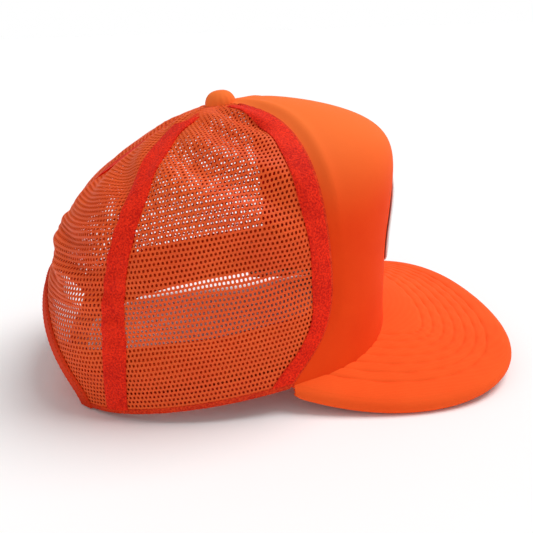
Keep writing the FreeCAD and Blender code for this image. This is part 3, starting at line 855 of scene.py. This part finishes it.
# hem: the mesh turned in, and the sweatband inside it
hem = {"fold": 11 * mm, "wall": 0.5 * mm, "band": 32 * mm, "bandFoot": 1.0 * mm, "bandLift": -3.9 * mm,
       "bandWall": 1.3 * mm, "bandGap": 2.5 * mm, "ruck": 0.15 * mm, "rucks": 260, "foldGap": 3 * mm}


def archEdge(height, grow):
    # the azimuth at which a row meets the rear opening, or the middle of the back above it
    low, high = np.full(np.shape(height), arch["searchFrom"]), np.full(np.shape(height), math.pi)
    for _ in range(arch["halvings"]):
        middle = (low + high) / 2
        clear = archReach(sampleGrid(skinPoints, middle, height), grow) > 1
        low, high = np.where(clear, middle, low), np.where(clear, high, middle)
    return low


def hemPlace(side):
    section = [(3.0 * mm, 0.25 * mm), (0.7 * mm, 0.3 * mm), (0.1 * mm, -0.15 * mm), (0.1 * mm, -0.9 * mm),
               (0.8 * mm, -1.4 * mm), (hem["fold"], -1.45 * mm)]
    stations = np.linspace(0, 1, len(section))

    def place(u, v):
        height = np.interp(v, stations, [point[0] for point in section])
        lift = np.interp(v, stations, [point[1] for point in section])
        start = seamAt(frontSeam, height) + 0.01
        turn = start + u * (archEdge(height, hem["foldGap"]) - start)
        return onCrown(turn * side, height, lift)
    return place


def bandPlace(u, v):
    height = hem["bandFoot"] + v * hem["band"]
    ruck = hem["ruck"] * np.sin(u * hem["rucks"]) * smoothStep(v, 0.6, 0.9)      # gathered along its top
    return onCrown((2 * u - 1) * archEdge(height, hem["bandGap"]), height, hem["bandLift"] + ruck)


for sideName, side in sides:
    fold = sheetPiece("hem_fold_" + sideName, 120, 12, hemPlace(side), hem["wall"])
    finishPiece(fold, meshCloth, nodes=["hem_tape_" + sideName], angle=60)
band = sheetPiece("sweat_band", 360, 16, bandPlace, hem["bandWall"])
finishPiece(band, bandCloth, nodes=["sweatband"], angle=60)
print("stage: hem and sweatband laid")


# rear opening: a tape folded over the cut edge of the mesh
binding = {"wall": 0.6 * mm, "near": 2.0 * mm, "far": 7.6 * mm, "ripple": 0.08 * mm, "ripples": 420,
           "stitchRow": 6.4 * mm, "stitchLift": 1.0 * mm, "stitchGap": 2.6 * mm, "stitch": 2.0 * mm,
           "stitchWidth": 0.45 * mm, "stitchPoints": 300, "stations": 181}


def archOutline(along, grow):
    # a point of the opening's outline seen from behind, and the way out of the opening there
    half, rise = arch["half"] + grow, arch["height"] + grow - arch["foot"]
    foot = arch["footShare"]
    bow = math.pi * np.clip((along - foot) / (1 - 2 * foot), 0, 1)
    drop = np.where(along < foot, along / foot, np.where(along > 1 - foot, (1 - along) / foot, 1))
    return -half * np.cos(bow), arch["foot"] * drop + rise * np.sin(bow)


def rearDepth(y, z):
    origin = toWorld(np.stack([np.full(len(y), -arch["behind"]), y, z], axis=1))
    found = np.empty(len(y))
    for index, point in enumerate(origin):
        hit = panelTree.ray_cast(Vector(point), forward, arch["behind"])
        found[index] = -arch["behind"] + hit[3] if hit[0] is not None else np.nan
    known = ~np.isnan(found)
    return np.interp(np.arange(len(y)), np.flatnonzero(known), found[known])


stations = np.linspace(0, 1, binding["stations"])
grows = (binding["near"], binding["far"])
depths = [rearDepth(*archOutline(stations, grow)) for grow in grows]


def archSkin(along, grow):
    # the crown's face beside the rear opening, in the hem frame
    y, z = archOutline(along, grow)
    near, far = (np.interp(along, stations, depth) for depth in depths)
    share = (grow - grows[0]) / (grows[1] - grows[0])
    return np.stack([near + (far - near) * share, y, np.maximum(z, 0.2 * mm)], axis=-1)


def archPoint(along, grow, lift):
    here = archSkin(along, grow)
    ahead = archSkin(np.minimum(along + 0.004, 1), grow) - archSkin(np.maximum(along - 0.004, 0), grow)
    outward = archSkin(along, grow + 1 * mm) - archSkin(along, grow - 1 * mm)
    normal = np.cross(outward, ahead)
    normal = normal / np.linalg.norm(normal, axis=-1, keepdims=True)
    normal = np.where(normal[..., :1] > 0, -normal, normal)
    return toWorld(here + normal * np.asarray(lift)[..., None])


def bindingPlace(u, v):
    section = [(7.9, 0.25), (7.4, 0.85), (4, 0.95), (1.1, 0.9), (0.5, 0.2),
               (0.5, -1.1), (1.1, -1.7), (4, -1.8), (7.4, -1.75), (7.9, -1.4)]      # in millimetres
    marks = np.linspace(0, 1, len(section))
    grow = np.interp(v, marks, [point[0] * mm for point in section])
    lift = np.interp(v, marks, [point[1] * mm for point in section])
    return archPoint(u, grow, lift + binding["ripple"] * np.sin(u * binding["ripples"]))


archTape = sheetPiece("arch_tape", 240, 27, bindingPlace, binding["wall"])
finishPiece(archTape, bindingCloth, nodes=["rear_arch_binding"], angle=60)


def stitchRow(name, points, normals, spacing, length, width, material):
    # stitches at even spacing along a path of points
    along = np.concatenate([[0], np.cumsum(np.linalg.norm(np.diff(points, axis=0), axis=1))])
    marks = np.arange(spacing / 2, along[-1], spacing)
    centres = np.stack([np.interp(marks, along, points[:, axis]) for axis in range(3)], axis=1)
    ahead = np.stack([np.interp(marks + 0.3 * mm, along, points[:, axis]) for axis in range(3)], axis=1)
    tops = np.stack([np.interp(marks, along, normals[:, axis]) for axis in range(3)], axis=1)
    model = stitchModel(length, width)
    row = scatter(name, model, centres, ahead - centres + 1e-9, tops)
    drop(model)
    if material:
        finishPiece(row, material, angle=60)
    return row


archAlong = np.linspace(0.02, 0.98, binding["stitchPoints"])
stitchPath = archPoint(archAlong, binding["stitchRow"], np.full(len(archAlong), binding["stitchLift"]))
stitchBase = archPoint(archAlong, binding["stitchRow"], np.full(len(archAlong), 0.0))
stitchRow("arch_stitches", stitchPath, stitchPath - stitchBase, binding["stitchGap"], binding["stitch"],
          binding["stitchWidth"], threadCloth)
print("stage: rear opening bound")


# visor: outline and height read along the hem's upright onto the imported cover
visorTree = nodeTree(["visor_top_cover"])[0]
visor = {"turns": 181, "reach": 0.20, "above": 0.1, "cornerRadius": 84.5 * mm, "cornerStep": 0.002,
         "tuck": 2.5 * mm, "cornerGap": 0.4 * mm, "quiltFade": 4 * mm, "edge": 2.6 * mm,
         "faceShare": 0.88, "firstRow": 12 * mm, "rowGap": 5.6 * mm,
         "rows": 7, "groove": 0.62 * mm, "grooveWidth": 0.9 * mm, "puff": 0.4 * mm, "puffWidth": 5 * mm,
         "pucker": 0.26 * mm, "puckerLength": 3.1 * mm, "puckerDrift": 17 * mm, "puckerWidth": 1.9 * mm,
         "wall": 0.9 * mm, "lining": 0.8 * mm, "liningDrop": 5.0 * mm, "liningEdge": 1.8 * mm,
         "cornerDrop": 0.6 * mm, "stitch": 2.0 * mm, "stitchGap": 2.7 * mm, "stitchWidth": 0.5 * mm,
         "stitchLift": 0.1 * mm}


def visorHeight(x, y):
    point = Vector(toWorld(np.array([x, y, visor["above"]])))
    hit = visorTree.ray_cast(point, -hemUp, 2 * visor["above"])
    return None if hit[0] is None else visor["above"] - hit[3]


def atCorner(turn):
    return visorHeight(visor["cornerRadius"] * math.cos(turn), visor["cornerRadius"] * math.sin(turn))


cornerTurn = math.pi / 2
while atCorner(cornerTurn) is None and cornerTurn > 1:
    cornerTurn -= visor["cornerStep"]
visorTurns = np.linspace(-cornerTurn, cornerTurn, visor["turns"])


def crownRadius(azimuth):
    height = footAt(azimuth)
    local = sampleGrid(skinPoints, azimuth, height)
    return np.hypot(local[..., 0], local[..., 1])


def outerRadius(azimuth):
    low, high = float(crownRadius(np.array(azimuth))), visor["reach"]
    for _ in range(16):
        middle = (low + high) / 2
        there = visorHeight(middle * math.cos(azimuth), middle * math.sin(azimuth)) is not None
        low, high = (middle, high) if there else (low, middle)
    return low


outerRadii = np.array([outerRadius(azimuth) for azimuth in visorTurns])
innerRadii = np.minimum(crownRadius(visorTurns) - visor["tuck"], outerRadii - visor["cornerGap"])
shares = np.linspace(0, 1, 41)
visorGrid = np.empty((len(visorTurns), len(shares)))
for row, azimuth in enumerate(visorTurns):
    for column, share in enumerate(shares):
        radius = innerRadii[row] + (outerRadii[row] - 0.1 * mm - innerRadii[row]) * share
        height = visorHeight(radius * math.cos(azimuth), radius * math.sin(azimuth))
        visorGrid[row, column] = np.nan if height is None else height
    visorGrid[row] = fillGaps(visorGrid[row]) if not np.isnan(visorGrid[row]).all() else visorGrid[row - 1]
edgeLine = np.stack([outerRadii * np.cos(visorTurns), outerRadii * np.sin(visorTurns)], axis=1)
edgeFine = np.stack([np.interp(np.linspace(0, 1, 900), np.linspace(0, 1, len(edgeLine)), edgeLine[:, axis])
                     for axis in range(2)], axis=1)
edgeLength = np.concatenate([[0], np.cumsum(np.linalg.norm(np.diff(edgeFine, axis=0), axis=1))])


def visorSurface(azimuth, radius):
    # hem-frame points on the visor's face
    inner, outer = np.interp(azimuth, visorTurns, innerRadii), np.interp(azimuth, visorTurns, outerRadii)
    share = np.clip((radius - inner) / np.maximum(outer - inner, 1e-6), 0, 1) * (len(shares) - 1.001)
    turn = np.clip((azimuth + cornerTurn) / (2 * cornerTurn), 0, 1) * (len(visorTurns) - 1.001)
    left, below = turn.astype(int), share.astype(int)
    u, v = turn - left, share - below
    height = ((1 - u) * (1 - v) * visorGrid[left, below] + u * (1 - v) * visorGrid[left + 1, below]
              + (1 - u) * v * visorGrid[left, below + 1] + u * v * visorGrid[left + 1, below + 1])
    return np.stack([radius * np.cos(azimuth), radius * np.sin(azimuth), height], axis=1)


def edgeDistance(points):
    # distance in from the visor's edge, and how far round the edge that is
    away, near = np.empty(len(points)), np.empty(len(points), int)
    batch = 4000
    for start in range(0, len(points), batch):
        block = points[start:start + batch, None, :2] - edgeFine[None]
        size = np.hypot(block[..., 0], block[..., 1])
        near[start:start + batch] = size.argmin(axis=1)
        away[start:start + batch] = size.min(axis=1)
    return away, edgeLength[near]


def quilting(points):
    # grooves where the rows of stitching pull the foam down, with small puckers across them
    away, along = edgeDistance(points)
    lift = np.full(len(points), 0.0)
    for row in range(visor["rows"]):
        gap = away - visor["firstRow"] - row * visor["rowGap"]
        lift -= visor["groove"] * np.exp(-(gap / visor["grooveWidth"]) ** 2)
        drift = 2.4 * row + 0.8 * np.sin(along / visor["puckerDrift"] + row)
        pucker = np.sin(along / visor["puckerLength"] + drift)
        lift -= visor["pucker"] * pucker * np.exp(-(gap / visor["puckerWidth"]) ** 2)
    quilted = smoothStep(away, visor["firstRow"] - visor["quiltFade"], visor["firstRow"])
    return lift + visor["puff"] * (1 - quilted * 0.6) * smoothStep(away, 0, visor["puffWidth"])


def visorPlace(u, v):
    azimuth = (2 * u - 1) * cornerTurn
    inner, outer = np.interp(azimuth, visorTurns, innerRadii), np.interp(azimuth, visorTurns, outerRadii)
    edge = np.minimum(visor["edge"], (outer - inner) / 2)
    flat = np.minimum(v / visor["faceShare"], 1)
    bow = np.clip((v - visor["faceShare"]) / (1 - visor["faceShare"]), 0, 1) * math.pi
    radius = inner + (outer - edge - inner) * flat + edge * np.sin(bow)
    points = visorSurface(azimuth, np.minimum(radius, outer))
    points[:, 2] += quilting(points) * (bow < 0.01)
    points[:, :2] = np.stack([radius * np.cos(azimuth), radius * np.sin(azimuth)], axis=1)
    points[:, 2] -= edge * (1 - np.cos(bow))
    return toWorld(points)


def liningPlace(u, v):
    azimuth = (2 * u - 1) * cornerTurn
    inner, outer = np.interp(azimuth, visorTurns, innerRadii), np.interp(azimuth, visorTurns, outerRadii)
    radius = inner + (np.maximum(outer - visor["liningEdge"], inner + 0.2 * mm) - inner) * v
    points = visorSurface(azimuth, radius)
    points[:, 2] -= np.minimum(visor["liningDrop"], visor["cornerDrop"] + (outer - inner) * 0.9)
    return toWorld(points)


visorTop = sheetPiece("visor_knit", 300, 110, visorPlace, visor["wall"])
finishPiece(visorTop, visorKnit, nodes=["visor_top_cover"], angle=60)
visorUnder = sheetPiece("visor_lining", 200, 40, liningPlace, visor["lining"])
finishPiece(visorUnder, liningCloth, nodes=["visor_under_cover"], angle=60)

stitchRows = []
scanTurns = np.linspace(-cornerTurn, cornerTurn, 240)
scanShares = np.linspace(0, 1, 160)
scanRadii = [np.interp(turn, visorTurns, innerRadii) + scanShares * (np.interp(turn, visorTurns, outerRadii)
             - np.interp(turn, visorTurns, innerRadii)) for turn in scanTurns]
scanAway = [edgeDistance(np.stack([radii * math.cos(turn), radii * math.sin(turn)], axis=1))[0]
            for turn, radii in zip(scanTurns, scanRadii)]
for row in range(visor["rows"]):
    depth = visor["firstRow"] + row * visor["rowGap"]
    path = [(turn, float(np.interp(-depth, -away, radii)))
            for turn, radii, away in zip(scanTurns, scanRadii, scanAway) if away.max() > depth + 1 * mm]
    turns, radii = (np.array(values) for values in zip(*path))
    points = visorSurface(turns, radii)
    points[:, 2] += quilting(points) + visor["stitchLift"]
    upright = np.broadcast_to(np.array(hemUp), points.shape)
    stitchRows.append(stitchRow("visor_row_%d" % row, toWorld(points), upright, visor["stitchGap"],
                                visor["stitch"], visor["stitchWidth"], None))
# the visor stitches get the darker thread colour, painted shade for their recesses
finishPiece(join("visor_stitches", stitchRows), visorShadedThread, angle=60)
print("stage: visor covered and stitched")


# button: cloth gathered over the pressed shell
button = {"gathers": 16, "gather": 0.12 * mm, "wall": 0.5 * mm, "tall": 7.2 * mm, "squareness": 0.8}
coverLow, coverHigh = (Vector(corner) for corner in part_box("button_cover"))
button["radius"] = (coverHigh.y - coverLow.y) / 2
buttonTop = nodeTree(["button_cover"])[0].ray_cast(axisFoot + hemUp * 0.3, -hemUp, 0.3)[0]
button["top"] = float(toHem(np.array(buttonTop))[2])
button["foot"] = button["top"] - button["tall"]


def buttonPlace(u, v):
    turn, rise = 2 * math.pi * u, v * math.pi / 2
    gather = button["gather"] * np.sin(turn * button["gathers"]) * np.cos(rise)
    radius = (button["radius"] + gather) * np.cos(rise) ** button["squareness"]
    height = button["foot"] + (button["top"] - button["foot"]) * np.sin(rise)
    return toWorld(np.stack([radius * np.cos(turn), radius * np.sin(turn), height], axis=1))


buttonCloth = sheetPiece("button_knit", 96, 20, buttonPlace, button["wall"], closed=True)
finishPiece(buttonCloth, knit, nodes=["button_cover"], angle=60)


# patch: a blank twill oval with a satin-stitched rim
patchLow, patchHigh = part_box("front_patch_rim")
patch = {"wider": 6 * mm, "tall": 27 * mm, "height": 54 * mm, "rim": 3 * mm, "cloth": 0.6 * mm,
         "lift": 1.0 * mm, "dome": 0.2 * mm, "bead": 0.65 * mm, "beadPitch": 0.52 * mm, "startX": 75 * mm,
         "tallest": 110 * mm, "rounds": 6, "halvings": 18}
patch["wide"] = (patchHigh[1] - patchLow[1]) / 2 + patch["wider"]


def crownCoords(y, z):
    # azimuth and row height of the points of the front at these hem-frame y and z
    x = np.full(len(y), patch["startX"])
    for _ in range(patch["rounds"]):
        azimuth = np.arctan2(y, x)
        low, high = np.zeros(len(y)), np.full(len(y), patch["tallest"])
        for _ in range(patch["halvings"]):
            middle = (low + high) / 2
            below = sampleGrid(skinPoints, azimuth, middle)[:, 2] < z
            low, high = np.where(below, middle, low), np.where(below, high, middle)
        x = sampleGrid(skinPoints, azimuth, low)[:, 0]
    return azimuth, low


def ovalPoint(turn, inset, lift):
    y = (patch["wide"] - inset) * np.cos(turn)
    z = patch["height"] + (patch["tall"] - inset) * np.sin(turn)
    return onCrown(*crownCoords(y, z), lift)


def patchPlace(u, v):
    turn = 2 * math.pi * u
    y = (patch["wide"] - patch["rim"] / 2) * (1 - v) * np.cos(turn)
    z = patch["height"] + (patch["tall"] - patch["rim"] / 2) * (1 - v) * np.sin(turn)
    return onCrown(*crownCoords(y, z), patch["lift"] + patch["dome"] * v)


patchFace = sheetPiece("patch_twill", 96, 24, patchPlace, patch["cloth"], closed=True)
finishPiece(patchFace, patchCloth, nodes=["front_patch"], angle=60)
rimTurns = np.linspace(0, 2 * math.pi, 400)
rimMiddle = ovalPoint(rimTurns, patch["rim"] / 2, patch["lift"] + patch["dome"])
rimOuter = ovalPoint(rimTurns, 0.0, patch["lift"])
rimBase = ovalPoint(rimTurns, patch["rim"] / 2, 0.0)
rimAlong = np.concatenate([[0], np.cumsum(np.linalg.norm(np.diff(rimMiddle, axis=0), axis=1))])
rimMarks = np.arange(0, rimAlong[-1], patch["beadPitch"])


def atMarks(points):
    return np.stack([np.interp(rimMarks, rimAlong, points[:, axis]) for axis in range(3)], axis=1)


beadModel = stitchModel(patch["rim"], 2 * patch["bead"])
rimCloth = scatter("patch_rim", beadModel, atMarks(rimMiddle), atMarks(rimOuter - rimMiddle),
                   atMarks(rimMiddle - rimBase))
drop(beadModel)
finishPiece(rimCloth, patchThread, nodes=["front_patch_rim"], angle=60)
print("stage: button and patch sewn")


# what stays as packed gets its finish in its own slots
packedFinishes = {"button_shell": steel, "button_stud": steel, "visor_board": boardPlastic,
                  "hole_strap": strapPlastic, "peg_strap": strapPlastic, "hole_strap_tab": strapPlastic,
                  "peg_strap_tab": strapPlastic}
for name, material in packedFinishes.items():
    node = frame["nodes"][name]
    node.data.materials.clear()
    node.data.materials.append(material)
print("stage: packed pieces finished")


# floor, light and camera
studio = {"floor": 40.0, "dome": 0.42, "horizon": 1.0, "fade": (0.1, 0.4), "sun": 2.2, "sunAngle": 38,
          "sunFrom": (0.55, 0.12, 1.0), "azimuth": -4.8, "elevation": 17.0, "roll": 9.5,
          "distance": 370 * mm, "lens": 44.0, "sensor": 36, "aimX": -1.6, "aimY": 3.8,
          "target": (4 * mm, 0, 60 * mm)}


def paleFloor():
    deselectAll()
    bpy.ops.mesh.primitive_plane_add(size=2 * studio["floor"], location=(0, 0, 0))
    floor = bpy.context.active_object
    floor.name = floor.data.name = "floor"
    finish = Finish("pale floor")
    tone = finish.noise(2.5, 2)
    pale = finish.blend(tone, rgb(249, 249, 249), rgb(252, 252, 252))
    floor.data.materials.append(finish.set(Base_Color=pale, Roughness=0.9, Specular_IOR_Level=0.0))


def softSun():
    deselectAll()
    bpy.ops.object.light_add(type="SUN", location=(0, 0, 2))
    sun = bpy.context.active_object
    sun.name = "soft sun"
    sun.data.energy = studio["sun"]
    sun.data.angle = math.radians(studio["sunAngle"])
    sun.rotation_euler = Vector(studio["sunFrom"]).to_track_quat("Z", "Y").to_euler()


def softWorld():
    # white at the horizon, dimmer overhead, so that the floor runs on into the background
    world = bpy.data.worlds.new("studio")
    world.use_nodes = True
    tree = world.node_tree
    place = tree.nodes.new("ShaderNodeTexCoord").outputs["Generated"]
    parts = tree.nodes.new("ShaderNodeSeparateXYZ")
    fade = tree.nodes.new("ShaderNodeMapRange")
    fade.inputs["From Min"].default_value = studio["fade"][0]
    fade.inputs["From Max"].default_value = studio["fade"][1]
    fade.inputs["To Min"].default_value = studio["horizon"]
    fade.inputs["To Max"].default_value = studio["dome"]
    tree.links.new(place, parts.inputs[0])
    tree.links.new(parts.outputs["Z"], fade.inputs["Value"])
    background = tree.nodes["Background"]
    background.inputs["Color"].default_value = (1, 1, 1, 1)
    tree.links.new(fade.outputs["Result"], background.inputs["Strength"])
    scene.world = world
    scene.view_settings.view_transform = "Standard"


def addCamera():
    around, above, roll = (math.radians(studio[key]) for key in ("azimuth", "elevation", "roll"))
    back = np.array([math.sin(around) * math.cos(above), -math.cos(around) * math.cos(above),
                     math.sin(above)])
    right = np.array([math.cos(around), math.sin(around), 0])
    upright = np.cross(back, right)
    right, upright = (right * math.cos(roll) - upright * math.sin(roll),
                      right * math.sin(roll) + upright * math.cos(roll))
    basis = Matrix([Vector(axis @ hemMatrix) for axis in (right, upright, back)]).transposed()
    target = Vector(toWorld(np.array(studio["target"])))
    aimX, aimY = (math.tan(math.radians(studio[key])) for key in ("aimX", "aimY"))
    aim = Vector((aimX, aimY, -1)).normalized()
    turn = aim.rotation_difference(Vector((0, 0, -1)))
    bpy.ops.object.camera_add()
    camera = bpy.context.active_object
    camera.name = "camera"
    camera.data.sensor_width = studio["sensor"]
    camera.data.lens = studio["lens"]
    camera.data.clip_start = 0.01
    camera.rotation_mode = "QUATERNION"
    camera.rotation_quaternion = basis.to_quaternion() @ turn
    camera.location = target + Vector(back @ hemMatrix) * studio["distance"]
    scene.camera = camera


paleFloor()
softSun()
softWorld()
addCamera()
print("stage: floor, lights and camera placed")
